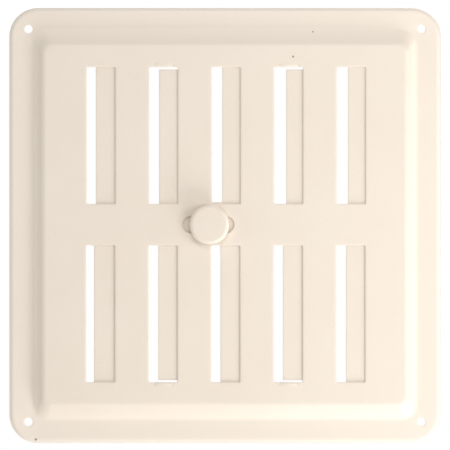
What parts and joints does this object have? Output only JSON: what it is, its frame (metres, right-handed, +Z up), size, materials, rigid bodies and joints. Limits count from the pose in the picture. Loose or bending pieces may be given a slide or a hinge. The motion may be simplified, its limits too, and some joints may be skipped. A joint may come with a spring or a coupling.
{
  "type": "hit and miss air grille",
  "caption": "Square pressed metal wall ventilator with two rows of upright slots and a sliding shutter worked by a round knob.",
  "frame": {"origin": "centre of the rim's back plane, on the wall", "axes": "+Z up, +X to the right seen from the room, the face looks along -Y into the room, the wall is at y = 0"},
  "size_m": [0.2406, 0.0146, 0.2426],
  "materials": {
    "face_coat": "cream powder coat on pressed aluminium sheet, semi-gloss with fine orange peel",
    "shutter_coat": "cream powder coat on flat aluminium sheet, semi-gloss",
    "knob_coat": "cream powder coat on turned aluminium, smooth semi-gloss",
    "nylon": "natural nylon, punched",
    "spring_steel": "oiled spring steel",
    "zinc_steel": "bright zinc plate"
  },
  "bodies": {
    "grille": {"face_plate": "face_coat"},
    "shutter": {"shutter_plate": "shutter_coat", "knob": "knob_coat", "glide_washer": "nylon", "spring_washer": "spring_steel", "plain_washer": "zinc_steel", "knob_screw": "zinc_steel"}
  },
  "joints": [
    {"name": "shutter_slide", "type": "slide", "parent": "grille", "child": "shutter", "axis": [1, 0, 0], "range_m": [-0.0102, 0.0091]}
  ]
}
